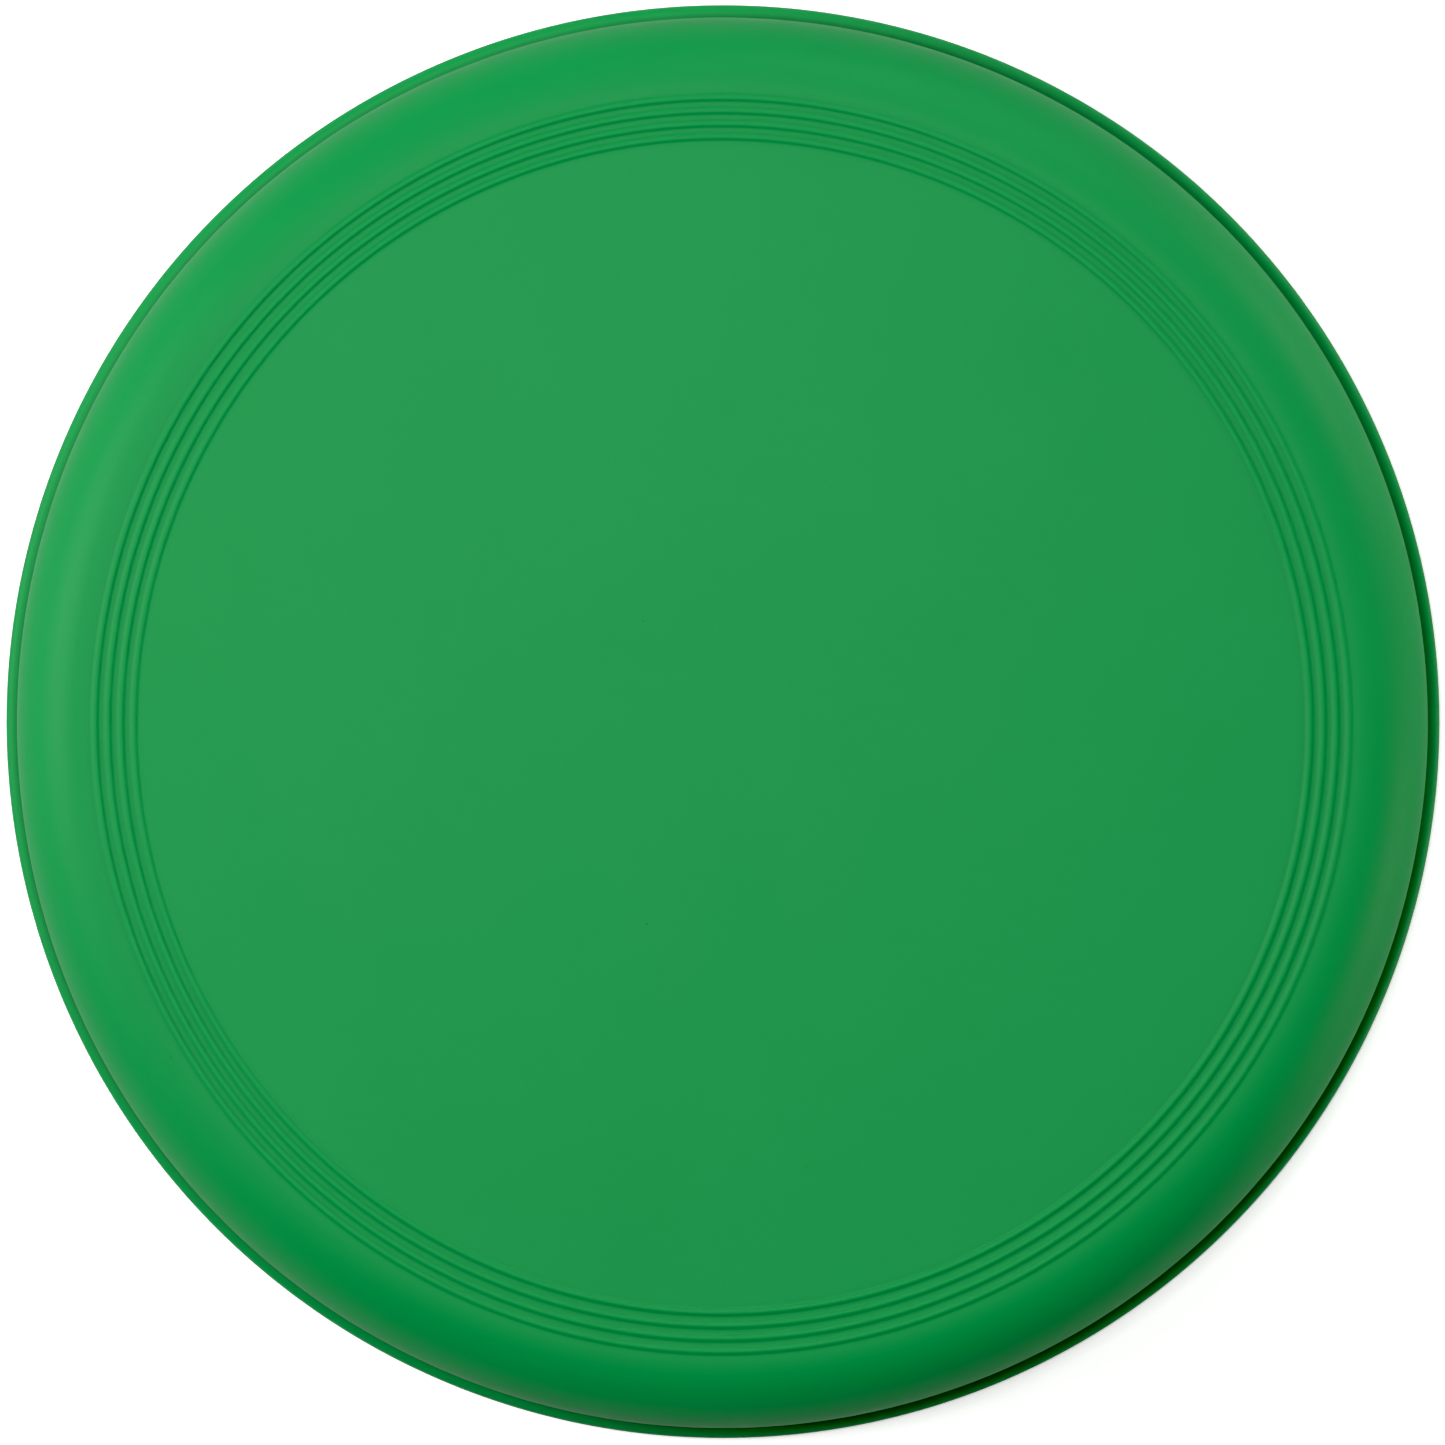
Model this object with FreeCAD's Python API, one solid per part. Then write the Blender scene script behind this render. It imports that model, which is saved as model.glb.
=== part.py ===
"""A round flying disc, moulded in one piece of polypropylene, in millimetres.

The disc lies plate up: +Z is the axis that it spins about, and the origin is the centre of its
resting face.  A flat plate carries four low ridges near its edge, turns down through a round
shoulder into a short outer wall, and ends in a lip that stands out all round.  Underneath it is
hollow, so that the fingers reach behind the rim.  The section is one closed outline, turned
once about the axis, with the ejector marks added to the plate's underside.
"""

import FreeCAD, Part

import math
import os

from FreeCAD import Vector

# Overall sizes
OVERALL_DIAMETER = 220.0     # across the lip
PLATE_HEIGHT = 22.0          # resting face to the plate's top face

# Walls
PLATE_THICKNESS = 1.7
RIM_THICKNESS = 2.0          # outer wall, square to its face
WALL_DRAFT_DEG = 1.0         # both faces of the wall open downwards, so that the mould lets go

# Shoulder, between the plate and the outer wall
SHOULDER_RADIUS = 11.6       # outside

# Lip, at the foot of the wall
LIP_PROJECTION = 2.25        # beyond the outer wall
LIP_HEIGHT = 2.8             # resting face to the lip's top
LIP_TOP_ROUNDING = 1.2       # outer top edge
LIP_FOOT_ROUNDING = 0.9      # outer bottom edge
LIP_ROOT_FILLET = 0.6        # where the wall stands on the lip
GRIP_EDGE_ROUNDING = 0.9     # inner bottom edge, which the fingers hold

# Ridges, four low rings on the plate beside the shoulder
RIDGE_COUNT = 4
RIDGE_WIDTH = 1.64           # foot to foot
RIDGE_GAP = 0.33             # flat between the feet of two ridges
RIDGE_HEIGHT = 0.25
RIDGE_INSET = 0.24           # shoulder to the foot of the outer ridge
RIDGE_CREST_SHARE = 0.54     # share of a ridge's half width that its crest arc takes

# Gate, at the centre of the underside, where the plastic came in
GATE_PAD_DIAMETER = 16.0
GATE_PAD_HEIGHT = 0.4
GATE_PAD_ROUNDING = 0.3
GATE_STUB_DIAMETER = 3.2
GATE_STUB_HEIGHT = 0.5       # beyond the pad
GATE_STUB_ROUNDING = 0.2

# Ejector marks on the plate's underside
EJECTOR_COUNT = 8
EJECTOR_DIAMETER = 7.0
EJECTOR_INSET = 18.0         # inner shoulder to the edge of a mark
EJECTOR_HEIGHT = 0.12

# Polypropylene, for the printed mass only
DENSITY_G_PER_CM3 = 0.905

AXIS_POINT = Vector(0, 0, 0)
AXIS = Vector(0, 0, 1)
FULL_TURN_DEG = 360
BITE = 0.5                   # how far an added boss reaches into the plate it stands on


def at(radius, height):
    """A point of the section, which lies in the XZ plane."""
    return Vector(radius, 0, height)


def line(start, end):
    return Part.LineSegment(start, end).toShape()


def arc(start, middle, end):
    return Part.Arc(start, middle, end).toShape()


def corner_arc(before, corner, after, radius):
    """First, middle and last point of the arc that rounds a corner between two straight runs."""
    back = (before - corner).normalize()
    onward = (after - corner).normalize()
    half_angle = back.getAngle(onward) / 2
    run = radius / math.tan(half_angle)
    inward = (back + onward).normalize()
    centre = corner + inward * (radius / math.sin(half_angle))
    return corner + back * run, centre - inward * radius, corner + onward * run


def rounded_path(corners):
    """Edges through (point, radius) corners, each rounded; the two ends stay sharp."""
    edges = []
    here = corners[0][0]
    for index in range(1, len(corners) - 1):
        corner, radius = corners[index]
        first, middle, last = corner_arc(corners[index - 1][0], corner, corners[index + 1][0], radius)
        edges += [line(here, first), arc(first, middle, last)]
        here = last
    edges.append(line(here, corners[-1][0]))
    return edges


def wall_radius(height):
    """Outer wall's radius at a height, ignoring the shoulder and the lip."""
    foot = OVERALL_DIAMETER / 2 - LIP_PROJECTION
    return foot - (height - LIP_HEIGHT) * math.tan(math.radians(WALL_DRAFT_DEG))


def inner_wall_radius(height):
    """Inner wall's radius at a height: the outer wall, moved in by its thickness."""
    return wall_radius(height) - RIM_THICKNESS / math.cos(math.radians(WALL_DRAFT_DEG))


def shoulder_start_radius():
    """Radius at which the plate's top face turns into the shoulder."""
    wall_top = at(wall_radius(PLATE_HEIGHT), PLATE_HEIGHT)
    wall_foot = at(wall_radius(0), 0)
    plate_centre = at(0, PLATE_HEIGHT)
    return corner_arc(wall_foot, wall_top, plate_centre, SHOULDER_RADIUS)[2].x


def inner_shoulder_start_radius():
    """Radius at which the plate's underside turns down into the inner wall."""
    underside = PLATE_HEIGHT - PLATE_THICKNESS
    wall_top = at(inner_wall_radius(underside), underside)
    wall_foot = at(inner_wall_radius(0), 0)
    plate_centre = at(0, underside)
    return corner_arc(wall_foot, wall_top, plate_centre, SHOULDER_RADIUS - RIM_THICKNESS)[2].x


def ridge_radii():
    """Crest radii, the outer ridge first."""
    outer = shoulder_start_radius() - RIDGE_INSET - RIDGE_WIDTH / 2
    pitch = RIDGE_WIDTH + RIDGE_GAP
    return [outer - pitch * index for index in range(RIDGE_COUNT)]


def ridge_edges(crest_radius):
    """One ridge from its outer foot to its inner foot: a crest arc between two foot arcs.

    All three arcs turn through the same slope, so the ridge leaves and meets the plate smoothly.
    """
    half_width = RIDGE_WIDTH / 2
    slope = 2 * math.atan(RIDGE_HEIGHT / half_width)
    both_radii = half_width / math.sin(slope)
    crest_arc = both_radii * RIDGE_CREST_SHARE
    foot_arc = both_radii - crest_arc
    crest_top = PLATE_HEIGHT + RIDGE_HEIGHT

    def flank(side, angle):
        """A point on the crest arc, at an angle from its top."""
        return at(crest_radius + side * crest_arc * math.sin(angle),
                  crest_top - crest_arc * (1 - math.cos(angle)))

    def foot(side, angle):
        """A point on a foot arc, at an angle from the plate."""
        return at(crest_radius + side * (half_width - foot_arc * math.sin(angle)),
                  PLATE_HEIGHT + foot_arc * (1 - math.cos(angle)))

    return [
        arc(foot(1, 0), foot(1, slope / 2), flank(1, slope)),
        arc(flank(1, slope), at(crest_radius, crest_top), flank(-1, slope)),
        arc(flank(-1, slope), foot(-1, slope / 2), foot(-1, 0)),
    ]


def top_edges():
    """The plate's top face from the shoulder to the axis, with its ridges."""
    edges = []
    here = at(shoulder_start_radius(), PLATE_HEIGHT)
    for crest_radius in ridge_radii():
        outer_foot = at(crest_radius + RIDGE_WIDTH / 2, PLATE_HEIGHT)
        edges.append(line(here, outer_foot))
        edges += ridge_edges(crest_radius)
        here = at(crest_radius - RIDGE_WIDTH / 2, PLATE_HEIGHT)
    edges.append(line(here, at(0, PLATE_HEIGHT)))
    return edges


def under_and_rim_edges():
    """From the gate on the axis, out under the plate, down the rim, round the lip and up."""
    underside = PLATE_HEIGHT - PLATE_THICKNESS
    pad_face = underside - GATE_PAD_HEIGHT
    stub_face = pad_face - GATE_STUB_HEIGHT
    lip_radius = OVERALL_DIAMETER / 2
    corners = [
        (at(0, stub_face), 0),
        (at(GATE_STUB_DIAMETER / 2, stub_face), GATE_STUB_ROUNDING),
        (at(GATE_STUB_DIAMETER / 2, pad_face), GATE_STUB_ROUNDING),
        (at(GATE_PAD_DIAMETER / 2, pad_face), GATE_PAD_ROUNDING / 2),
        (at(GATE_PAD_DIAMETER / 2 + GATE_PAD_HEIGHT, underside), GATE_PAD_ROUNDING),
        (at(inner_wall_radius(underside), underside), SHOULDER_RADIUS - RIM_THICKNESS),
        (at(inner_wall_radius(0), 0), GRIP_EDGE_ROUNDING),
        (at(lip_radius, 0), LIP_FOOT_ROUNDING),
        (at(lip_radius, LIP_HEIGHT), LIP_TOP_ROUNDING),
        (at(wall_radius(LIP_HEIGHT), LIP_HEIGHT), LIP_ROOT_FILLET),
        (at(wall_radius(PLATE_HEIGHT), PLATE_HEIGHT), SHOULDER_RADIUS),
        (at(0, PLATE_HEIGHT), 0),
    ]
    return rounded_path(corners)[:-1]    # the top face takes over where the shoulder ends


def turned_section():
    """The whole disc but for its ejector marks, as one turned solid."""
    stub_face = PLATE_HEIGHT - PLATE_THICKNESS - GATE_PAD_HEIGHT - GATE_STUB_HEIGHT
    edges = under_and_rim_edges() + top_edges()
    edges.append(line(at(0, PLATE_HEIGHT), at(0, stub_face)))
    section = Part.Face(Part.Wire(edges))
    return section.revolve(AXIS_POINT, AXIS, FULL_TURN_DEG)


def ejector_marks():
    """The round marks that the mould's pins leave, just proud of the plate's underside."""
    underside = PLATE_HEIGHT - PLATE_THICKNESS
    circle_radius = inner_shoulder_start_radius() - EJECTOR_INSET - EJECTOR_DIAMETER / 2
    marks = []
    for index in range(EJECTOR_COUNT):
        turn = 2 * math.pi * index / EJECTOR_COUNT
        foot = Vector(circle_radius * math.cos(turn),
                      circle_radius * math.sin(turn),
                      underside - EJECTOR_HEIGHT)
        marks.append(Part.makeCylinder(EJECTOR_DIAMETER / 2, EJECTOR_HEIGHT + BITE, foot, AXIS))
    return marks


def disc():
    """The moulded disc, one solid."""
    whole = turned_section().fuse(ejector_marks())
    return whole.removeSplitter().Solids[0]


def export(node, shape):
    """Writes one node and prints what it measures."""
    assert shape.isValid() and shape.isClosed(), f"{node} isn't a closed solid"
    shape.exportStep(f"parts/{node}.step")
    box = shape.optimalBoundingBox()
    mass = shape.Volume / 1000 * DENSITY_G_PER_CM3
    print(f"{node}: {box.XLength:.2f} x {box.YLength:.2f} x {box.ZLength:.2f} mm, "
          f"z from {box.ZMin:.3f}, {shape.Volume / 1000:.2f} cm3, {mass:.1f} g")


def main():
    os.makedirs("parts", exist_ok=True)
    export("disc", disc())
    print("shoulder starts at", round(shoulder_start_radius(), 3),
          "and the ridges' crests are at", [round(radius, 3) for radius in ridge_radii()])


main()
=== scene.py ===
"""The looks of a one-piece moulded flying disc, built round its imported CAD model.

The disc's section is turned once about +Z by Geometry Nodes, whose inputs are the disc's own sizes,
so that the walls, ridges, lip, gate and ejector marks are all real surface.  Everything is in
metres, in the CAD model's frame: the origin is the centre of the resting face, and +Z goes up
through the plate.
"""

import logging
import math
from dataclasses import dataclass, fields
from enum import Enum
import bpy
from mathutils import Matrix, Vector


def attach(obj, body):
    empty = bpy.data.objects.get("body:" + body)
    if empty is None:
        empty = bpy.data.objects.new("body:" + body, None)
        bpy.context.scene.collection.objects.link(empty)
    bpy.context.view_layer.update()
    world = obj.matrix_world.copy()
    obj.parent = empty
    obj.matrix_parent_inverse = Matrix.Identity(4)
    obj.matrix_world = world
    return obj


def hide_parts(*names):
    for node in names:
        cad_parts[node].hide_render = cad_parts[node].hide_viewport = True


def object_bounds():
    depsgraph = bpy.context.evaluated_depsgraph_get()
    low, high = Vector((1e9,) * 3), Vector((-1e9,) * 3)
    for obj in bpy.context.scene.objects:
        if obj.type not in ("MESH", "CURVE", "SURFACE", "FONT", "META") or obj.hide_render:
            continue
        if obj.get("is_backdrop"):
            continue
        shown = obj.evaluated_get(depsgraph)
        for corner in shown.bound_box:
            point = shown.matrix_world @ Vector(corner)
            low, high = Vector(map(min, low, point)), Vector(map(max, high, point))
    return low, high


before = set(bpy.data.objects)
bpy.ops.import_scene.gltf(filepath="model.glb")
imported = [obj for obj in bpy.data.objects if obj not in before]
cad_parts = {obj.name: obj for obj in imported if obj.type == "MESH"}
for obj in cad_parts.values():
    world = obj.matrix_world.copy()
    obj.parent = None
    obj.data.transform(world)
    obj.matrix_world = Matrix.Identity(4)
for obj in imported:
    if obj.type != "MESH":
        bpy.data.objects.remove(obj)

from types import SimpleNamespace
from typing import Optional, Sequence, Union

import bpy
from mathutils import Matrix, Vector

MM = 0.001
NODE = "disc"
BODY = "root"

log = logging.getLogger("flying_disc")


# ---------------------------------------------------------------- node graphs

class Term:
    """A number in a node graph. Plain arithmetic on it adds Math nodes."""

    def __init__(self, graph: "Graph", socket: bpy.types.NodeSocket) -> None:
        """Wraps an output socket of a node in that graph."""
        self.graph = graph
        self.socket = socket

    def __add__(self, other: "Number") -> "Term":
        """This plus other."""
        return self.graph.math("ADD", self, other)

    def __sub__(self, other: "Number") -> "Term":
        """This less other."""
        return self.graph.math("SUBTRACT", self, other)

    def __rsub__(self, other: "Number") -> "Term":
        """Other less this."""
        return self.graph.math("SUBTRACT", other, self)

    def __mul__(self, other: "Number") -> "Term":
        """This times other."""
        return self.graph.math("MULTIPLY", self, other)

    def __truediv__(self, other: "Number") -> "Term":
        """This over other."""
        return self.graph.math("DIVIDE", self, other)

    def __lt__(self, other: "Number") -> "Term":
        """1 where this is less than other, 0 elsewhere."""
        return self.graph.math("LESS_THAN", self, other)

    def __gt__(self, other: "Number") -> "Term":
        """1 where this is more than other, 0 elsewhere."""
        return self.graph.math("GREATER_THAN", self, other)


Number = Union[Term, float, int]
Feed = Union[Term, bpy.types.NodeSocket, float, int, bool, str, Sequence[float]]


class Graph:
    """Adds nodes to one node tree and links them."""

    def __init__(self, tree: bpy.types.NodeTree) -> None:
        """Works on that tree."""
        self.tree = tree

    def feed(self, socket: bpy.types.NodeSocket, value: Feed) -> None:
        """Links an input to a socket, or sets it to a plain value.

        Args:
            socket: the input.
            value: a term or a socket to link, or a plain value.
        """
        if isinstance(value, Term):
            value = value.socket
        if isinstance(value, bpy.types.NodeSocket):
            self.tree.links.new(value, socket)
        else:
            socket.default_value = value

    def node(self, kind: str, feeds: Optional[dict[Union[str, int], Feed]] = None,
             **settings: object) -> bpy.types.Node:
        """Adds a node.

        Args:
            kind: Blender's name for the type of node.
            feeds: what each input takes, by the input's name or number.
            settings: the node's own settings, such as its operation.

        Returns:
            The new node.
        """
        node = self.tree.nodes.new(kind)
        for name, value in settings.items():
            setattr(node, name, value)
        for name, value in (feeds or {}).items():
            self.feed(node.inputs[name], value)
        return node

    def math(self, operation: str, *values: Number) -> Term:
        """Adds a Math node.

        Args:
            operation: what it does, by Blender's name.
            values: its inputs in order, numbers or terms.

        Returns:
            The result.
        """
        feeds = dict(enumerate(values))
        return Term(self, self.node("ShaderNodeMath", feeds, operation=operation).outputs[0])

    def vector(self, x: Number = 0.0, y: Number = 0.0, z: Number = 0.0) -> bpy.types.NodeSocket:
        """Joins three numbers into a vector."""
        return self.node("ShaderNodeCombineXYZ", {"X": x, "Y": y, "Z": z}).outputs[0]

    def parts(self, vector: Feed) -> tuple[Term, Term, Term]:
        """Splits a vector into its three numbers."""
        split = self.node("ShaderNodeSeparateXYZ", {0: vector})
        return tuple(Term(self, output) for output in split.outputs)


# ---------------------------------------------------------------- the moulding

class Side(Enum):
    """Which half of the mould shaped a face of the disc."""

    SHOW = "show"
    CORE = "core"


@dataclass(frozen=True)
class Corner:
    """A corner of the disc's section, the radius that rounds it and the side that it is on."""

    radius: Number
    height: Number
    rounding: Number = 0.0
    side: Side = Side.SHOW


@dataclass(frozen=True)
class Moulding:
    """The disc as one moulding. Every field is an input of its Geometry Nodes tree."""

    overall_diameter: float = 220.0 * MM
    plate_height: float = 22.0 * MM
    plate_thickness: float = 1.7 * MM
    rim_thickness: float = 2.0 * MM
    wall_draft: float = math.radians(1.0)
    shoulder_radius: float = 11.6 * MM
    lip_projection: float = 2.25 * MM
    lip_height: float = 2.8 * MM
    lip_top_rounding: float = 1.2 * MM
    lip_foot_rounding: float = 0.9 * MM
    lip_root_fillet: float = 0.6 * MM
    grip_edge_rounding: float = 0.9 * MM
    ridge_count: int = 4
    ridge_width: float = 1.64 * MM
    ridge_gap: float = 0.33 * MM
    ridge_height: float = 0.25 * MM
    ridge_inset: float = 0.24 * MM
    ridge_crest_share: float = 0.54
    gate_pad_diameter: float = 16.0 * MM
    gate_pad_height: float = 0.4 * MM
    gate_pad_rounding: float = 0.3 * MM
    gate_stub_diameter: float = 3.2 * MM
    gate_stub_height: float = 0.5 * MM
    gate_stub_rounding: float = 0.2 * MM
    ejector_count: int = 8
    ejector_diameter: float = 7.0 * MM
    ejector_inset: float = 18.0 * MM
    ejector_height: float = 0.12 * MM
    turn_steps: int = 384
    arc_step: float = 0.4 * MM
    fewest_arc_steps: int = 8
    ridge_step: float = 0.13 * MM
    plain_step: float = 8.0 * MM
    weld: float = 0.002 * MM


class MouldingTree:
    """Builds the Geometry Nodes tree that turns the disc's section about +Z."""

    ROUNDING = "rounding"
    CORE_SIDE = "core_side"
    CORE_FACE = "core_face"
    CORE_SHARE = 0.75            # share of a face that must be on the core side to count as core
    EJECTOR_STEPS = 48
    BITE = 0.5 * MM              # how far an ejector mark reaches into the plate
    CIRCLE_RADIUS = 0.5          # the circle that the section is turned along

    def __init__(self, sizes: Moulding, finishes: dict[Side, bpy.types.Material]) -> None:
        """Takes the disc's sizes, and the material of each side.

        Args:
            sizes: the disc's sizes.
            finishes: the material of each side.
        """
        self.sizes = sizes
        self.finishes = finishes
        self.tree = bpy.data.node_groups.new("turned_moulding", "GeometryNodeTree")
        self.graph = Graph(self.tree)
        self.size = SimpleNamespace()

    def build(self) -> bpy.types.NodeTree:
        """Makes the whole tree.

        Returns:
            The tree, whose inputs are named for the fields of Moulding.
        """
        interface = self.tree.interface
        interface.new_socket("Geometry", in_out="INPUT", socket_type="NodeSocketGeometry")
        interface.new_socket("Geometry", in_out="OUTPUT", socket_type="NodeSocketGeometry")
        for size in fields(self.sizes):
            whole_number = isinstance(getattr(self.sizes, size.name), int)
            kind = "NodeSocketInt" if whole_number else "NodeSocketFloat"
            interface.new_socket(size.name, in_out="INPUT", socket_type=kind)
        entry = self.graph.node("NodeGroupInput")
        for size in fields(self.sizes):
            setattr(self.size, size.name, Term(self.graph, entry.outputs[size.name]))
        union = self.graph.node("GeometryNodeMeshBoolean", operation="UNION", solver="MANIFOLD")
        section = self.ridged(self.divided(self.rounded_section()))
        for solid in (self.turned(section), self.ejector_marks()):
            self.tree.links.new(self.sided(solid), union.inputs["Mesh 2"])
        self.graph.node("NodeGroupOutput", {"Geometry": self.dressed(union.outputs["Mesh"])})
        return self.tree

    def wall_radius(self, height: Number) -> Term:
        """The outer wall's radius at a height, leaving out the shoulder and the lip.

        Args:
            height: the height above the resting face.

        Returns:
            The radius there.
        """
        size = self.size
        foot = size.overall_diameter / 2 - size.lip_projection
        return foot - (height - size.lip_height) * self.graph.math("TANGENT", size.wall_draft)

    def inner_wall_radius(self, height: Number) -> Term:
        """The inner wall's radius at a height, leaving out the shoulder."""
        slant = self.graph.math("COSINE", self.size.wall_draft)
        return self.wall_radius(height) - self.size.rim_thickness / slant

    def shoulder_start(self, wall_top: Number, rounding: Number) -> Term:
        """The radius where a flat face turns into the shoulder that joins it to a wall."""
        half_turn = (math.pi / 2 - self.size.wall_draft) / 2
        return wall_top - rounding * self.graph.math("TANGENT", half_turn)

    def outer_crest(self) -> Term:
        """The radius of the outermost ridge's crest.

        Returns:
            That radius, which the other ridges are stepped inwards from.
        """
        size = self.size
        start = self.shoulder_start(self.wall_radius(size.plate_height), size.shoulder_radius)
        return start - size.ridge_inset - size.ridge_width / 2

    def ridge_pitch(self) -> Term:
        """Crest to crest."""
        return self.size.ridge_width + self.size.ridge_gap

    def band_radius(self) -> Term:
        """The radius inside which the plate's top face has no ridges."""
        return self.outer_crest() - self.ridge_pitch() * self.size.ridge_count

    def corners(self) -> list[Corner]:
        """The section's corners, from the plate's centre out over the rim and back underneath.

        Returns:
            The corners in order, the first and the last on the axis.
        """
        size = self.size
        lip = size.overall_diameter / 2
        underside = size.plate_height - size.plate_thickness
        pad_face = underside - size.gate_pad_height
        stub_face = pad_face - size.gate_stub_height
        pad = size.gate_pad_diameter / 2
        stub = size.gate_stub_diameter / 2
        return [
            Corner(0.0, size.plate_height),
            Corner(self.band_radius(), size.plate_height),
            Corner(self.wall_radius(size.plate_height), size.plate_height, size.shoulder_radius),
            Corner(self.wall_radius(size.lip_height), size.lip_height, size.lip_root_fillet),
            Corner(lip, size.lip_height, size.lip_top_rounding),
            Corner(lip, 0.0, size.lip_foot_rounding),
            Corner(self.inner_wall_radius(0.0), 0.0, size.grip_edge_rounding, Side.CORE),
            Corner(self.inner_wall_radius(underside), underside,
                   size.shoulder_radius - size.rim_thickness, Side.CORE),
            Corner(pad + size.gate_pad_height, underside, size.gate_pad_rounding, Side.CORE),
            Corner(pad, pad_face, size.gate_pad_rounding / 2, Side.CORE),
            Corner(stub, pad_face, size.gate_stub_rounding, Side.CORE),
            Corner(stub, stub_face, size.gate_stub_rounding, Side.CORE),
            Corner(0.0, stub_face, 0.0, Side.CORE),
        ]

    def by_index(self, kind: str, values: Sequence[Feed]) -> bpy.types.NodeSocket:
        """One value for each point, in the points' order.

        Args:
            kind: the values' data type, by Blender's name.
            values: the value of each point.

        Returns:
            The field of values.
        """
        index = self.graph.node("GeometryNodeInputIndex").outputs[0]
        switch = self.graph.node("GeometryNodeIndexSwitch", {"Index": index}, data_type=kind)
        while len(switch.index_switch_items) < len(values):
            switch.index_switch_items.new()
        for place, value in enumerate(values, start=1):
            self.graph.feed(switch.inputs[place], value)
        return switch.outputs[0]

    def stored(self, geometry: Feed, name: str, value: Feed, domain: str = "POINT") -> bpy.types.NodeSocket:
        """The geometry with a number stored on its points, or on its faces, under a name.

        Args:
            geometry: what to store it on.
            name: the name to store it under.
            value: the number, or a field of them.
            domain: what each number belongs to, by Blender's name.

        Returns:
            The geometry with the number stored.
        """
        feeds = {"Geometry": geometry, "Name": name, "Value": value}
        return self.graph.node("GeometryNodeStoreNamedAttribute", feeds,
                               data_type="FLOAT", domain=domain).outputs[0]

    def recalled(self, name: str) -> Term:
        """The number that was stored under a name."""
        node = self.graph.node("GeometryNodeInputNamedAttribute", {"Name": name}, data_type="FLOAT")
        return Term(self.graph, node.outputs["Attribute"])

    def rounded_section(self) -> bpy.types.NodeSocket:
        """The section as a curve in X and Y, with its corners rounded by arcs.

        Returns:
            The curve, radius in X and height in Y.
        """
        graph = self.graph
        corners = self.corners()
        points = [graph.vector(corner.radius, corner.height) for corner in corners]
        line = graph.node("GeometryNodeMeshLine", {"Count": len(corners)}).outputs[0]
        placed = graph.node("GeometryNodeSetPosition",
                            {"Geometry": line, "Position": self.by_index("VECTOR", points)}).outputs[0]
        roundings = self.by_index("FLOAT", [corner.rounding for corner in corners])
        sides = self.by_index("FLOAT", [float(corner.side is Side.CORE) for corner in corners])
        marked = self.stored(self.stored(placed, self.ROUNDING, roundings), self.CORE_SIDE, sides)
        curve = graph.node("GeometryNodeMeshToCurve", {"Mesh": marked}).outputs[0]
        rounding = self.recalled(self.ROUNDING)
        quarter = rounding * (math.pi / 2) / self.size.arc_step
        steps = graph.math("MAXIMUM", quarter, self.size.fewest_arc_steps)
        return graph.node("GeometryNodeFilletCurve",
                          {"Curve": curve, "Count": steps, "Radius": rounding}, mode="POLY").outputs[0]

    def on_band(self, radius: Term, height: Term) -> Term:
        """1 on the plate's top face outside the band's inner edge, 0 elsewhere."""
        size = self.size
        return (height > size.plate_height - size.weld) * (radius > self.band_radius() + size.weld)

    def divided(self, section: Feed) -> bpy.types.NodeSocket:
        """The section with its straight runs divided: finely where the ridges rise, coarsely elsewhere.

        Args:
            section: the rounded section.

        Returns:
            The same curve with more points.
        """
        graph = self.graph
        place = graph.node("GeometryNodeInputPosition").outputs[0]
        following = Term(graph, graph.node("GeometryNodeInputIndex").outputs[0]) + 1
        onward = graph.node("GeometryNodeFieldAtIndex", {"Value": place, "Index": following},
                            data_type="FLOAT_VECTOR", domain="POINT").outputs[0]
        run = graph.node("ShaderNodeVectorMath", {0: place, 1: onward},
                         operation="DISTANCE").outputs["Value"]
        ahead_radius, ahead_height, _ = graph.parts(onward)
        inside = self.on_band(ahead_radius, ahead_height)
        step = self.size.plain_step + inside * (self.size.ridge_step - self.size.plain_step)
        cuts = graph.math("FLOOR", Term(graph, run) / step)
        return graph.node("GeometryNodeSubdivideCurve", {"Curve": section, "Cuts": cuts}).outputs[0]

    def ridge_rise(self, radius: Term) -> Term:
        """How far the ridges stand above the plate at a radius.

        Each is a crest arc between two foot arcs, which all turn through one slope.

        Args:
            radius: the distance from the axis.

        Returns:
            The rise there, 0 between the ridges.
        """
        graph, size, pitch = self.graph, self.size, self.ridge_pitch()
        inward = (self.outer_crest() - radius) / pitch
        nearest = graph.math("MAXIMUM", graph.math("ROUND", inward), 0.0)
        capped = graph.math("MINIMUM", nearest, size.ridge_count - 1)
        offset = graph.math("ABSOLUTE", (inward - capped) * pitch)
        half_width = size.ridge_width / 2
        slope = graph.math("ARCTANGENT", size.ridge_height / half_width) * 2
        both_arcs = half_width / graph.math("SINE", slope)
        crest_arc = both_arcs * size.ridge_crest_share
        foot_arc = both_arcs - crest_arc
        from_foot = graph.math("MAXIMUM", half_width - offset, 0.0)
        crest = size.ridge_height - crest_arc + self.arc_rise(crest_arc, offset)
        foot = foot_arc - self.arc_rise(foot_arc, from_foot)
        on_crest = offset < half_width * size.ridge_crest_share
        return foot + on_crest * (crest - foot)

    def arc_rise(self, radius: Term, offset: Term) -> Term:
        """The height of an arc above its centre, at an offset from it."""
        square = self.graph.math("MAXIMUM", radius * radius - offset * offset, 0.0)
        return self.graph.math("SQRT", square)

    def ridged(self, section: Feed) -> bpy.types.NodeSocket:
        """The section with its ridges raised.

        Args:
            section: the divided section.

        Returns:
            The curve with its band of ridges.
        """
        graph = self.graph
        radius, height, _ = graph.parts(graph.node("GeometryNodeInputPosition").outputs[0])
        rise = self.ridge_rise(radius) * self.on_band(radius, height)
        return graph.node("GeometryNodeSetPosition",
                          {"Geometry": section, "Offset": graph.vector(0.0, rise)}).outputs[0]

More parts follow.
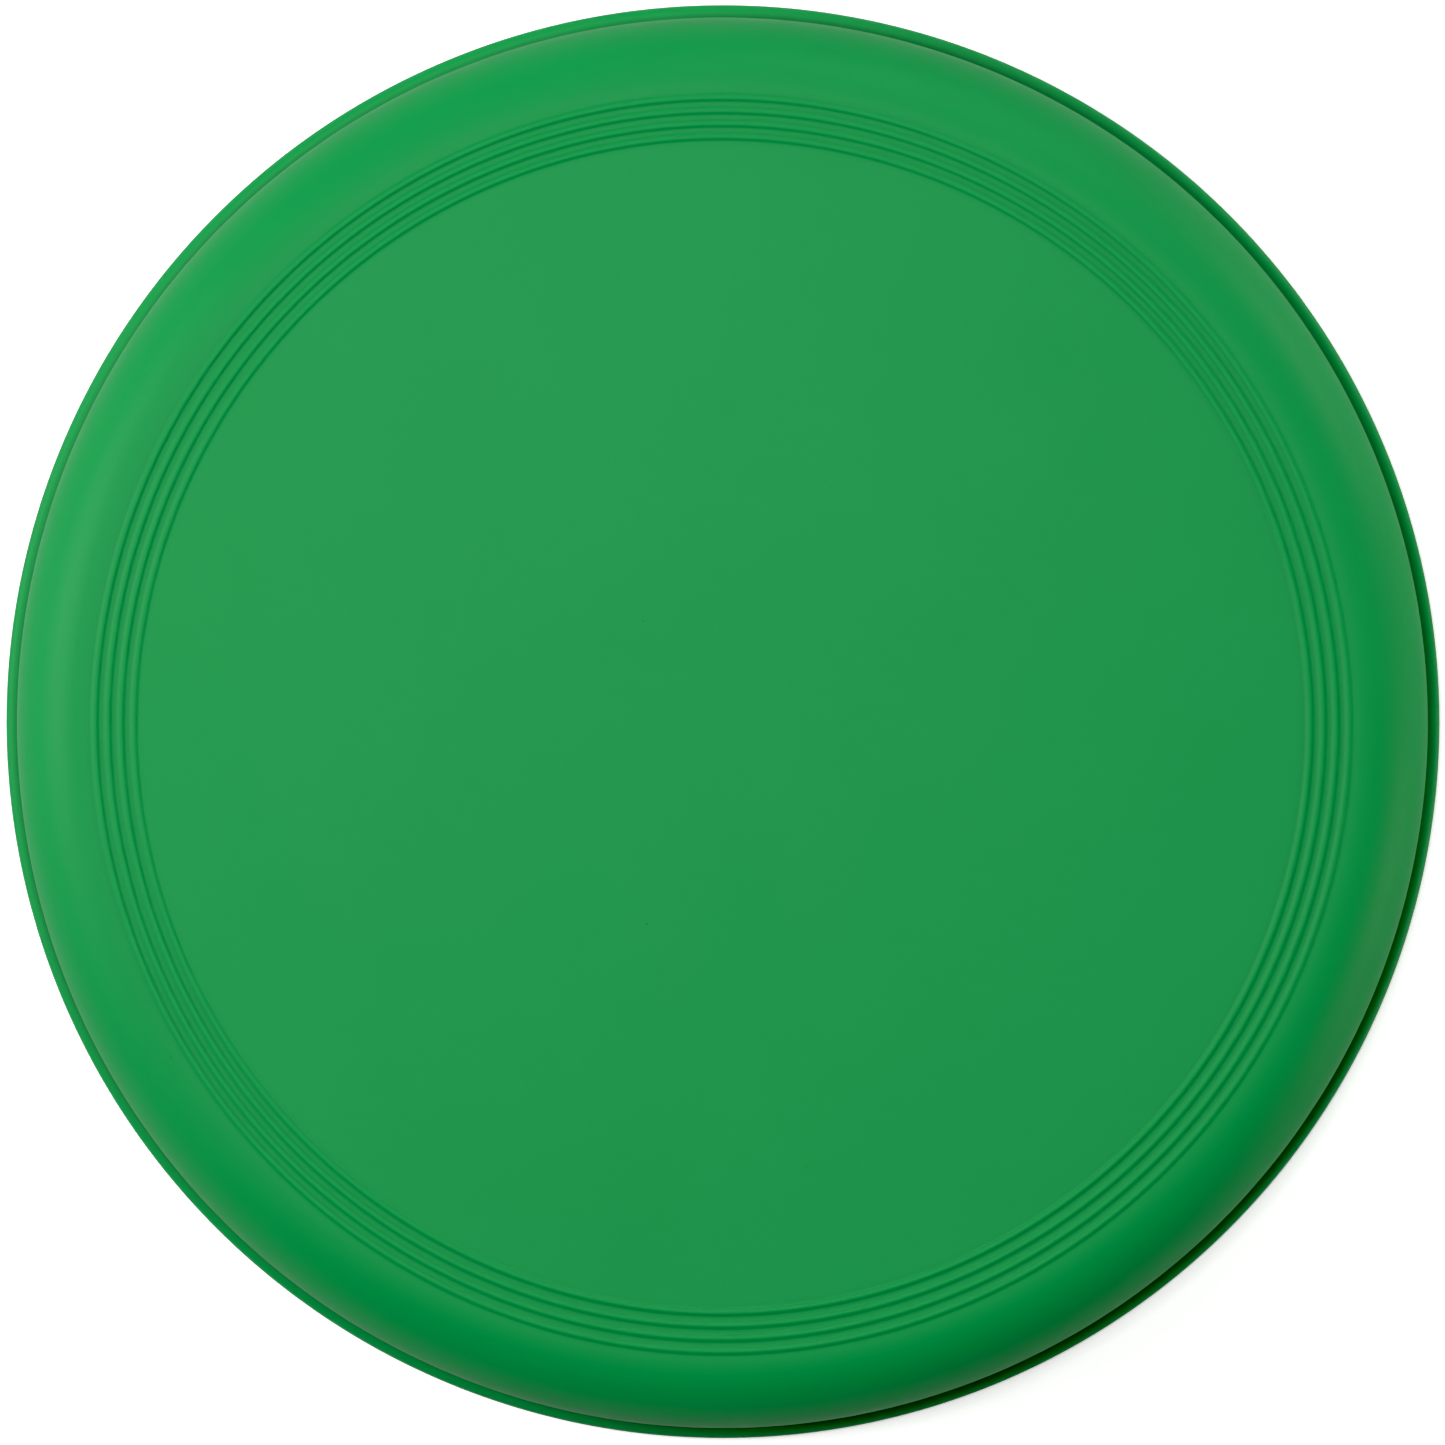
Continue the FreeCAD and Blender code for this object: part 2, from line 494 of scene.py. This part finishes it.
    def turned(self, section: Feed) -> bpy.types.NodeSocket:
        """The section turned once about +Z into a closed shell.

        Curve to Mesh puts a section's X away from a circle's centre, counted from the circle, and
        its Y downwards.

        Args:
            section: the section with its ridges.

        Returns:
            The shell.
        """
        graph = self.graph
        circle = graph.node("GeometryNodeCurvePrimitiveCircle",
                            {"Resolution": self.size.turn_steps, "Radius": self.CIRCLE_RADIUS}).outputs[0]
        radius, height, _ = graph.parts(graph.node("GeometryNodeInputPosition").outputs[0])
        turned_over = graph.vector(radius - self.CIRCLE_RADIUS, height * -1)
        section = graph.node("GeometryNodeSetPosition",
                             {"Geometry": section, "Position": turned_over}).outputs[0]
        shell = graph.node("GeometryNodeCurveToMesh",
                           {"Curve": circle, "Profile Curve": section}).outputs[0]
        return graph.node("GeometryNodeMergeByDistance",
                          {"Geometry": shell, "Distance": self.size.weld}).outputs[0]

    def ejector_marks(self) -> bpy.types.NodeSocket:
        """The round marks of the mould's pins, a ring of thin discs let into the plate's underside.

        Returns:
            The marks as closed solids.
        """
        graph, size = self.graph, self.size
        underside = size.plate_height - size.plate_thickness
        inner_rounding = size.shoulder_radius - size.rim_thickness
        start = self.shoulder_start(self.inner_wall_radius(underside), inner_rounding)
        circle_radius = start - size.ejector_inset - size.ejector_diameter / 2
        ring = graph.node("GeometryNodeMeshCircle",
                          {"Vertices": size.ejector_count, "Radius": circle_radius}).outputs[0]
        depth = size.ejector_height + self.BITE
        middle = graph.vector(0.0, 0.0, underside - size.ejector_height + depth / 2)
        ring = graph.node("GeometryNodeSetPosition", {"Geometry": ring, "Offset": middle}).outputs[0]
        mark = graph.node("GeometryNodeMeshCylinder",
                          {"Vertices": self.EJECTOR_STEPS, "Radius": size.ejector_diameter / 2,
                           "Depth": depth}).outputs["Mesh"]
        marks = graph.node("GeometryNodeInstanceOnPoints", {"Points": ring, "Instance": mark}).outputs[0]
        marks = graph.node("GeometryNodeRealizeInstances", {"Geometry": marks}).outputs[0]
        return self.stored(marks, self.CORE_SIDE, 1.0)

    def sided(self, solid: Feed) -> bpy.types.NodeSocket:
        """A solid whose faces know their side, so that they keep it where the union cuts them."""
        most = self.recalled(self.CORE_SIDE) > self.CORE_SHARE
        return self.stored(solid, self.CORE_FACE, most, "FACE")

    def dressed(self, moulding: Feed) -> bpy.types.NodeSocket:
        """The moulding smoothed, with each side in its own material.

        Args:
            moulding: the union of all its solids.

        Returns:
            The finished geometry.
        """
        graph = self.graph
        smooth = graph.node("GeometryNodeSetShadeSmooth", {"Geometry": moulding}).outputs[0]
        real = graph.node("GeometryNodeRealizeInstances", {"Geometry": smooth}).outputs[0]
        show = graph.node("GeometryNodeSetMaterial",
                          {"Geometry": real, "Material": self.finishes[Side.SHOW]}).outputs[0]
        return graph.node("GeometryNodeSetMaterial",
                          {"Geometry": show, "Selection": self.recalled(self.CORE_FACE),
                           "Material": self.finishes[Side.CORE]}).outputs[0]


@dataclass(frozen=True)
class FlyingDisc:
    """The whole disc, which is a single moulding."""

    name: str = "flying_disc"
    sizes: Moulding = Moulding()
    flat_face_weight: int = 100

    def build(self, finishes: dict[Side, bpy.types.Material]) -> bpy.types.Object:
        """Turns the moulding and makes it a plain mesh, with normals that keep its flat faces flat.

        Args:
            finishes: the material of each side.

        Returns:
            The disc, at the origin.
        """
        scene = bpy.context.scene
        blank = bpy.data.objects.new(self.name + "_sizes", bpy.data.meshes.new(self.name + "_blank"))
        scene.collection.objects.link(blank)
        turning = blank.modifiers.new("turning", "NODES")
        turning.node_group = MouldingTree(self.sizes, finishes).build()
        for item in turning.node_group.interface.items_tree:
            if hasattr(self.sizes, item.name):
                turning[item.identifier] = getattr(self.sizes, item.name)
        evening = blank.modifiers.new("even_normals", "WEIGHTED_NORMAL")
        evening.mode = "FACE_AREA"
        evening.weight = self.flat_face_weight
        made = blank.evaluated_get(bpy.context.evaluated_depsgraph_get())
        mesh = bpy.data.meshes.new_from_object(made)
        mesh.name = self.name
        disc = bpy.data.objects.new(self.name, mesh)
        scene.collection.objects.link(disc)
        bpy.data.objects.remove(blank)
        return disc

    def mount(self, disc: bpy.types.Object) -> None:
        """Puts the disc in the frame, in place of its CAD node.

        Args:
            disc: the disc that build made.
        """
        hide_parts(NODE)
        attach(disc, BODY)


# ---------------------------------------------------------------- finishes

class Effects:
    """Shader node groups that more than one finish uses, each built once."""

    CLOUD_SHARE = 0.75           # of the drift; the mottle has the rest
    CLOUD_DISTORTION = 0.6
    FINE_SIZE = 0.4              # fine grain against coarse
    FINE_DEPTH = 0.6
    PATCH_SIZE = 30              # dull patches against coarse grain
    PATCH_SHARE = 0.6            # of the dullness; the grain has the rest
    LEAST_SPECK = 0.4

    _made: dict[str, bpy.types.NodeTree] = {}

    @classmethod
    def _begin(cls, name: str, numbers: dict[str, float],
               outputs: Sequence[str]) -> tuple[Graph, SimpleNamespace]:
        """Starts a group.

        Args:
            name: the group's name.
            numbers: its number inputs, with their usual values.
            outputs: its number outputs.

        Returns:
            The group's graph, and its inputs by name, with the vector input as "place".
        """
        tree = bpy.data.node_groups.new(name, "ShaderNodeTree")
        tree.interface.new_socket("place", in_out="INPUT", socket_type="NodeSocketVector")
        for label, usual in numbers.items():
            socket = tree.interface.new_socket(label, in_out="INPUT", socket_type="NodeSocketFloat")
            socket.default_value = usual
        for label in outputs:
            tree.interface.new_socket(label, in_out="OUTPUT", socket_type="NodeSocketFloat")
        graph = Graph(tree)
        entry = graph.node("NodeGroupInput")
        inputs = {label: Term(graph, entry.outputs[label]) for label in numbers}
        cls._made[name] = tree
        return graph, SimpleNamespace(place=entry.outputs["place"], **inputs)

    @staticmethod
    def noise(graph: Graph, place: Feed, size: Number, detail: float, distortion: float = 0.0) -> Term:
        """Noise whose lumps are about that size across, from 0 to 1 and 0.5 on average.

        Args:
            graph: the graph to add it to.
            place: where the noise is looked up.
            size: how wide a lump is.
            detail: how many finer layers it has.
            distortion: how far its lumps are pulled about.

        Returns:
            The noise.
        """
        feeds = {"Vector": place, "Scale": graph.math("DIVIDE", 1.0, size), "Detail": detail,
                 "Distortion": distortion}
        return Term(graph, graph.node("ShaderNodeTexNoise", feeds).outputs[0])

    @classmethod
    def pigment_drift(cls) -> bpy.types.NodeTree:
        """Where the pigment flowed a little thicker or thinner: broad clouds with a fine mottle.

        Returns:
            The group, with the output drift.
        """
        name = "pigment_drift"
        if name in cls._made:
            return cls._made[name]
        graph, given = cls._begin(name, {"cloud": 40 * MM, "mottle": 3 * MM}, ["drift"])
        clouds = cls.noise(graph, given.place, given.cloud, detail=2.0, distortion=cls.CLOUD_DISTORTION)
        mottle = cls.noise(graph, given.place, given.mottle, detail=3.0)
        drift = clouds * cls.CLOUD_SHARE + mottle * (1 - cls.CLOUD_SHARE)
        graph.node("NodeGroupOutput", {"drift": drift})
        return cls._made[name]

    @classmethod
    def mould_grain(cls) -> bpy.types.NodeTree:
        """The spark-eroded grain that the mould leaves, as a height in metres and a 0 to 1 dullness.

        Returns:
            The group, with the outputs height and dullness.
        """
        name = "mould_grain"
        if name in cls._made:
            return cls._made[name]
        graph, given = cls._begin(name, {"grain": 0.5 * MM, "depth": 0.006 * MM}, ["height", "dullness"])
        coarse = cls.noise(graph, given.place, given.grain, detail=2.0)
        fine = cls.noise(graph, given.place, given.grain * cls.FINE_SIZE, detail=1.0)
        patch = cls.noise(graph, given.place, given.grain * cls.PATCH_SIZE, detail=2.0)
        average = (1 + cls.FINE_DEPTH) / 2
        relief = (coarse + fine * cls.FINE_DEPTH - average) * given.depth
        dullness = coarse * (1 - cls.PATCH_SHARE) + patch * cls.PATCH_SHARE
        graph.node("NodeGroupOutput", {"height": relief, "dullness": dullness})
        return cls._made[name]

    @classmethod
    def specks(cls) -> bpy.types.NodeTree:
        """Scattered specks, at most one in each cell: 1 on a speck and 0 elsewhere.

        Returns:
            The group, with the output mask.
        """
        name = "specks"
        if name in cls._made:
            return cls._made[name]
        graph, given = cls._begin(name, {"spacing": 6 * MM, "speck": 0.16 * MM, "share": 0.5}, ["mask"])
        cells = graph.node("ShaderNodeTexVoronoi",
                           {"Vector": given.place, "Scale": graph.math("DIVIDE", 1.0, given.spacing)})
        draw, strength, _ = graph.parts(cells.outputs["Color"])
        reach = given.speck / given.spacing * (strength + cls.LEAST_SPECK)
        near = 1.0 - Term(graph, cells.outputs["Distance"]) / reach
        shown = graph.math("MULTIPLY", graph.math("MAXIMUM", near, 0.0), draw < given.share)
        graph.node("NodeGroupOutput", {"mask": shown})
        return cls._made[name]


Colour = tuple[float, float, float]

GREEN: Colour = (0.0125, 0.298, 0.0705)
LIGHTER_GREEN: Colour = (0.0135, 0.318, 0.0755)
DARK_GREEN: Colour = (0.001, 0.14, 0.02)
# painted shade: the darker green laid into hollows and creases, not a colour of the plastic
HOLLOW_SHADE_GREEN: Colour = (0.004, 0.15, 0.03)
PALE_GREY: Colour = (0.85, 0.85, 0.85)


@dataclass(frozen=True)
class Finish:
    """A plain finish: one colour with a soft drift, a roughness and a grain."""

    MIX_SHARE, MIX_FIRST, MIX_SECOND = 0, 6, 7    # a colour mix's inputs, by number
    MIX_RESULT = 2                                # and its output

    name: str
    colour: Colour
    drift_colour: Colour
    roughness: float
    roughness_spread: float
    specular: float = 0.5
    grain: float = 0.5 * MM
    grain_depth: float = 0.006 * MM

    def material(self) -> bpy.types.Material:
        """Builds the material.

        Returns:
            The material.
        """
        made = bpy.data.materials.new(self.name)
        made.use_nodes = True
        made.node_tree.nodes.clear()
        graph = Graph(made.node_tree)
        place = graph.node("ShaderNodeTexCoord").outputs["Object"]
        surface = self.surface(graph, place)
        graph.node("ShaderNodeOutputMaterial", {"Surface": surface.outputs["BSDF"]})
        return made

    def surface(self, graph: Graph, place: Feed) -> bpy.types.Node:
        """Adds the shader, with all that varies over the surface.

        Args:
            graph: the material's graph.
            place: the point on the object.

        Returns:
            The shader.
        """
        grain = self.effect(graph, Effects.mould_grain(), place=place, grain=self.grain,
                            depth=self.grain_depth)
        roughness = Term(graph, grain.outputs["dullness"]) - 0.5
        height = Term(graph, grain.outputs["height"]) + self.relief(graph, place)
        bump = graph.node("ShaderNodeBump", {"Height": height, "Distance": 1.0, "Strength": 1.0})
        return graph.node("ShaderNodeBsdfPrincipled", {
            "Base Color": self.tint(graph, place),
            "Roughness": roughness * self.roughness_spread * 2 + self.roughness,
            "Specular IOR Level": self.specular,
            "Normal": bump.outputs["Normal"],
        })

    def tint(self, graph: Graph, place: Feed) -> bpy.types.NodeSocket:
        """The colour over the surface."""
        drift = self.effect(graph, Effects.pigment_drift(), place=place).outputs["drift"]
        return self.mixed(graph, drift, self.colour, self.drift_colour)

    def relief(self, graph: Graph, place: Feed) -> Number:
        """Height beyond the grain's own, in metres."""
        return 0.0

    @staticmethod
    def mixed(graph: Graph, share: Feed, first: Feed, second: Feed) -> bpy.types.NodeSocket:
        """A colour that goes from first to second as share goes from 0 to 1.

        Args:
            graph: the graph to add it to.
            share: how much of the second colour to take.
            first: the first colour.
            second: the second colour.

        Returns:
            The mixed colour.
        """
        opaque = [(*c, 1.0) if isinstance(c, tuple) else c for c in (first, second)]
        node = graph.node("ShaderNodeMix", data_type="RGBA")
        for place, value in zip((Finish.MIX_SHARE, Finish.MIX_FIRST, Finish.MIX_SECOND), (share, *opaque)):
            graph.feed(node.inputs[place], value)
        return node.outputs[Finish.MIX_RESULT]

    @staticmethod
    def effect(graph: Graph, group: bpy.types.NodeTree, **feeds: Feed) -> bpy.types.Node:
        """Places an effect's group in a graph.

        Args:
            graph: the graph to add it to.
            group: the effect.
            feeds: what each of its inputs takes.

        Returns:
            The group's node.
        """
        node = graph.tree.nodes.new("ShaderNodeGroup")
        node.node_tree = group
        for name, value in feeds.items():
            graph.feed(node.inputs[name], value)
        return node


@dataclass(frozen=True)
class ShowFinish(Finish):
    """The disc's outside: an even matte grain, a faint waviness, a few specks and shade painted into its
    hollows.
    """

    wave: float = 34 * MM
    wave_depth: float = 0.02 * MM
    speck_colour: Colour = DARK_GREEN
    # painted shade: the green darkens where ambient occlusion finds the surface closed in, between ridges
    # and at the lip's root
    hollow_reach: float = 1.0 * MM
    hollow_gain: float = 4.0
    hollow_most: float = 0.45
    hollow_rays: int = 8
    hollow_shade_colour: Colour = HOLLOW_SHADE_GREEN

    def tint(self, graph: Graph, place: Feed) -> bpy.types.NodeSocket:
        """The drifting green, with specks, and with shade painted into narrow hollows.

        Args:
            graph: the material's graph.
            place: the point on the object.

        Returns:
            The colour.
        """
        green = super().tint(graph, place)
        specks = self.effect(graph, Effects.specks(), place=place)
        specked = self.mixed(graph, specks.outputs["mask"], green, self.speck_colour)
        # painted shade: mixes the darker green in by how closed in the surface is
        return self.mixed(graph, self.painted_hollow_shade(graph), specked, self.hollow_shade_colour)

    def painted_hollow_shade(self, graph: Graph) -> Term:
        """0 where the surface is open, rising to the most painted shade that a hollow takes.

        Args:
            graph: the material's graph.

        Returns:
            How much of the painted hollow shade shows.
        """
        # painted shade: ambient occlusion decides how dark the base colour goes
        sight = graph.node("ShaderNodeAmbientOcclusion", {"Distance": self.hollow_reach},
                           samples=self.hollow_rays, only_local=True)
        closed = 1.0 - Term(graph, sight.outputs["AO"])
        return graph.math("MINIMUM", closed * self.hollow_gain, self.hollow_most)

    def relief(self, graph: Graph, place: Feed) -> Number:
        """The slight waves that a wide thin plate cools into."""
        return Effects.noise(graph, place, self.wave, detail=1.0) * self.wave_depth


@dataclass(frozen=True)
class CoreFinish(Finish):
    """The disc's underside: smoother, with the rings that turning left on the mould's core."""

    ring: float = 0.9 * MM
    ring_depth: float = 0.004 * MM
    ring_wobble: float = 3.0
    wobble_size: float = 60 * MM
    fade_size: float = 25 * MM

    def relief(self, graph: Graph, place: Feed) -> Number:
        """Fine rings about the axis, which fade in and out.

        Args:
            graph: the material's graph.
            place: the point on the object.

        Returns:
            Their height, in metres.
        """
        x, y, _ = graph.parts(place)
        radius = graph.math("SQRT", x * x + y * y)
        wobble = Effects.noise(graph, place, self.wobble_size, detail=1.0)
        rings = graph.math("SINE", radius * (2 * math.pi / self.ring) + wobble * self.ring_wobble)
        strength = Effects.noise(graph, place, self.fade_size, detail=2.0)
        return rings * strength * self.ring_depth


@dataclass(frozen=True)
class FloorFinish(Finish):
    """A pale sweep lit from below, which looks whiter than it lights the disc."""

    glow: float = 0.55
    glow_per_metre: float = 0.35

    def surface(self, graph: Graph, place: Feed) -> bpy.types.Node:
        """Adds the shader, with its glow where it is looked at.

        Args:
            graph: the material's graph.
            place: the point on the object.

        Returns:
            The shader.
        """
        shader = super().surface(graph, place)
        seen = Term(graph, graph.node("ShaderNodeLightPath").outputs["Is Camera Ray"])
        length = graph.node("ShaderNodeVectorMath", {0: place}, operation="LENGTH").outputs["Value"]
        away = Term(graph, length)
        graph.feed(shader.inputs["Emission Color"], (1.0, 1.0, 1.0, 1.0))
        graph.feed(shader.inputs["Emission Strength"], seen * (away * self.glow_per_metre + self.glow))
        return shader


# ---------------------------------------------------------------- studio

@dataclass(frozen=True)
class Softbox:
    """A square softbox that faces the disc."""

    name: str
    azimuth: float
    elevation: float
    distance: float
    width: float
    watts: float
    colour: Colour = (1.0, 1.0, 1.0)

    def build(self, aim: Vector) -> bpy.types.Object:
        """Hangs the softbox round the aim, azimuth in degrees from +X towards +Y.

        Args:
            aim: the point that it faces.

        Returns:
            The softbox.
        """
        turn, rise = math.radians(self.azimuth), math.radians(self.elevation)
        away = Vector((math.cos(turn) * math.cos(rise), math.sin(turn) * math.cos(rise), math.sin(rise)))
        lamp = bpy.data.lights.new(self.name, "AREA")
        lamp.shape = "SQUARE"
        lamp.size = self.width
        lamp.energy = self.watts
        lamp.color = self.colour
        box = bpy.data.objects.new(self.name, lamp)
        box.location = aim + away * self.distance
        box.rotation_euler = away.to_track_quat("Z", "Y").to_euler()
        box.visible_camera = False
        bpy.context.scene.collection.objects.link(box)
        return box


@dataclass(frozen=True)
class Studio:
    """A pale floor, a white surround that casts no light, and the softboxes."""

    floor_size: float = 12.0
    floor_gap: float = 0.02 * MM
    floor_finish: FloorFinish = FloorFinish("pale_floor", PALE_GREY, PALE_GREY, roughness=0.9,
                                            roughness_spread=0.0, grain_depth=0.0)
    black_level: float = 0.015
    softboxes: tuple[Softbox, ...] = (
        Softbox("key_softbox", azimuth=172.0, elevation=36.0, distance=1.3, width=0.5, watts=10.9),
        Softbox("far_softbox", azimuth=75.0, elevation=36.0, distance=1.3, width=0.5, watts=3.7),
        Softbox("top_softbox", azimuth=135.0, elevation=82.0, distance=0.9, width=0.25, watts=3.4),
        Softbox("low_far_softbox", azimuth=32.0, elevation=8.0, distance=1.3, width=0.3, watts=3.9),
        Softbox("low_near_softbox", azimuth=345.0, elevation=8.0, distance=1.3, width=0.3, watts=3.5,
                colour=(1.2, 1.0, 0.85)),
    )

    def build(self, low: Vector, high: Vector) -> None:
        """Sets the studio up round an object.

        Args:
            low: the object's lowest corner.
            high: its highest corner.
        """
        self._floor(low.z - self.floor_gap)
        self._surround()
        self._grade()
        for softbox in self.softboxes:
            softbox.build((low + high) / 2)

    def _floor(self, level: float) -> None:
        """Lays the floor at a level.

        Args:
            level: the height of its face.
        """
        half = self.floor_size / 2
        mesh = bpy.data.meshes.new("floor")
        corners = [(-half, -half, level), (half, -half, level), (half, half, level), (-half, half, level)]
        mesh.from_pydata(corners, [], [(0, 1, 2, 3)])
        mesh.materials.append(self.floor_finish.material())
        floor = bpy.data.objects.new("floor", mesh)
        bpy.context.scene.collection.objects.link(floor)
        floor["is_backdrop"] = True

    def _surround(self) -> None:
        """Makes the surround white where it is looked at, and dark to everything that it might light."""
        world = bpy.data.worlds.new("surround")
        world.use_nodes = True
        world.node_tree.nodes.clear()
        graph = Graph(world.node_tree)
        seen = graph.node("ShaderNodeLightPath").outputs["Is Camera Ray"]
        white = graph.node("ShaderNodeBackground", {"Color": (1.0, 1.0, 1.0, 1.0), "Strength": seen})
        graph.node("ShaderNodeOutputWorld", {"Surface": white.outputs[0]})
        bpy.context.scene.world = world

    def _grade(self) -> None:
        """Shows colours as they are, but for a black level that deepens the shadows a little."""
        view = bpy.context.scene.view_settings
        view.view_transform = "Standard"
        view.use_curve_mapping = True
        view.curve_mapping.black_level = (self.black_level, self.black_level, self.black_level)


@dataclass(frozen=True)
class Camera:
    """A long lens nearly straight above the disc."""

    stand: Vector = Vector((13.6 * MM, 28.0 * MM, 1500.0 * MM))
    aim: Vector = Vector((0.0, 0.0, 1.0 * MM))
    field: float = 221.9 * MM
    sensor: float = 36.0

    def build(self) -> bpy.types.Object:
        """Sets the camera up, with the top of its picture towards +Y.

        Returns:
            The camera, which is the scene's own.
        """
        away = self.stand - self.aim
        back = away.normalized()
        right = Vector((0.0, 1.0, 0.0)).cross(back).normalized()
        data = bpy.data.cameras.new("camera")
        data.sensor_width = self.sensor
        data.lens = self.sensor * away.length / self.field
        camera = bpy.data.objects.new("camera", data)
        camera.location = self.stand
        camera.rotation_euler = Matrix((right, back.cross(right), back)).transposed().to_euler()
        bpy.context.scene.collection.objects.link(camera)
        bpy.context.scene.camera = camera
        return camera


# ---------------------------------------------------------------- all of it


def main() -> None:
    """Builds the disc and its studio."""
    logging.basicConfig(level=logging.INFO, format="%(name)s: %(message)s")
    cad_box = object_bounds()
    finishes = {
        Side.SHOW: ShowFinish("show_side_green", GREEN, LIGHTER_GREEN, roughness=0.52,
                              roughness_spread=0.03, specular=0.18).material(),
        Side.CORE: CoreFinish("core_side_green", GREEN, LIGHTER_GREEN, roughness=0.45,
                              roughness_spread=0.03, specular=0.18).material(),
    }
    maker = FlyingDisc()
    disc = maker.build(finishes)
    log.info("%s: %d faces, one moulding", disc.name, len(disc.data.polygons))
    maker.mount(disc)
    Studio().build(*cad_box)
    Camera().build()


if __name__ == "__main__":
    main()
